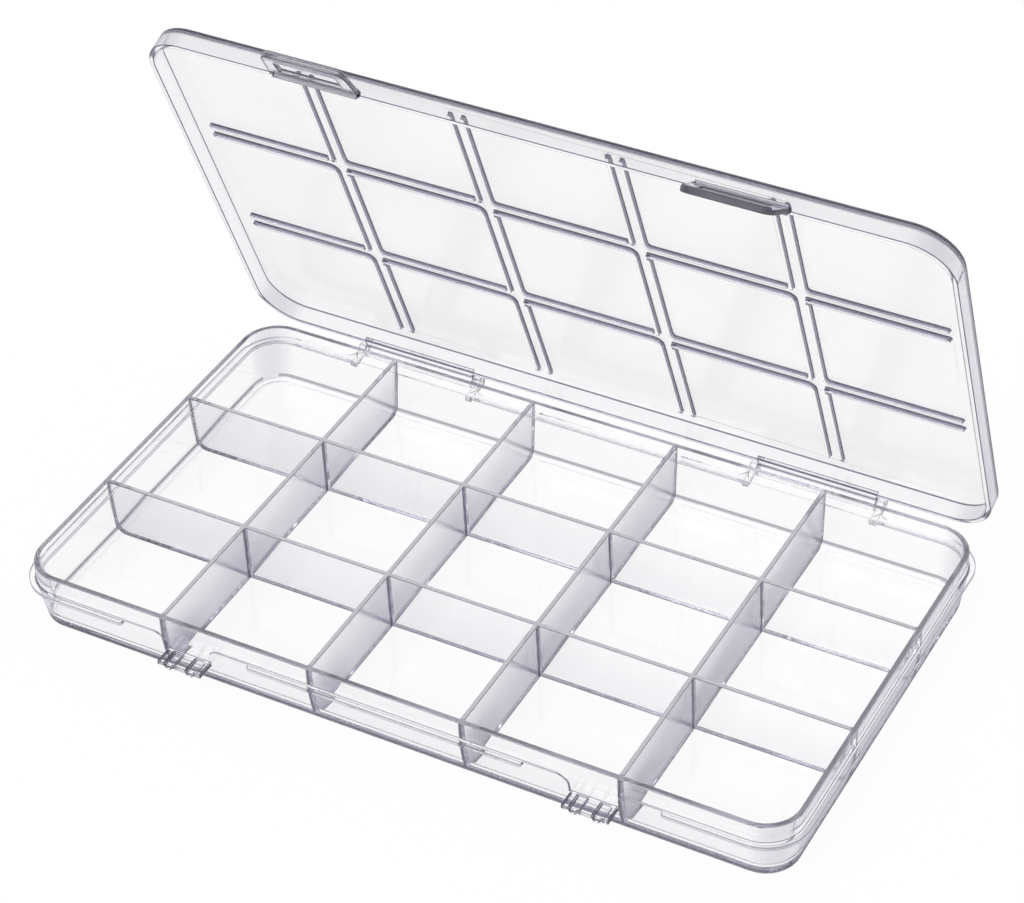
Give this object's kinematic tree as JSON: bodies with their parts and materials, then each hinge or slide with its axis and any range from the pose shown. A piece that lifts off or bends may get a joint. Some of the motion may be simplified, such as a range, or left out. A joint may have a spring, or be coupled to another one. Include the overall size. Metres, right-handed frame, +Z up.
{
  "type": "compartment organizer box",
  "caption": "Flat clear box with a grid of bead compartments under a hinged lid that latch flaps hold shut.",
  "frame": {"origin": "centre of the tray's flat underside", "axes": "+X along the long front to the right, +Y from the latch side to the hinge side, +Z up"},
  "size_m": [0.1738, 0.1058, 0.1122],
  "materials": {
    "clear_tray": "clear polished moulded plastic",
    "clear_lid": "clear polished moulded plastic",
    "clear_latch": "clear polished moulded plastic",
    "clear_pin": "clear polished moulded plastic"
  },
  "bodies": {
    "tray": {"base_tray": "clear_tray", "hinge_pin_left": "clear_pin", "hinge_pin_right": "clear_pin"},
    "lid": {"lid": "clear_lid"},
    "left_flap": {"latch_left": "clear_latch"},
    "right_flap": {"latch_right": "clear_latch"}
  },
  "joints": [
    {"name": "lid_hinge", "type": "hinge", "parent": "tray", "child": "lid", "pos_m": [0, 0.05145, 0.0106], "axis": [-1, 0, 0], "range_deg": [-69.2, 110.8]},
    {"name": "left_latch_hinge", "type": "hinge", "parent": "lid", "child": "left_flap", "pos_m": [-0.0454, 0.01545, 0.10481], "axis": [-1, 0, 0], "range_deg": [-78, 32]},
    {"name": "right_latch_hinge", "type": "hinge", "parent": "lid", "child": "right_flap", "pos_m": [0.0454, 0.01545, 0.10481], "axis": [-1, 0, 0], "range_deg": [-48, 62]}
  ]
}
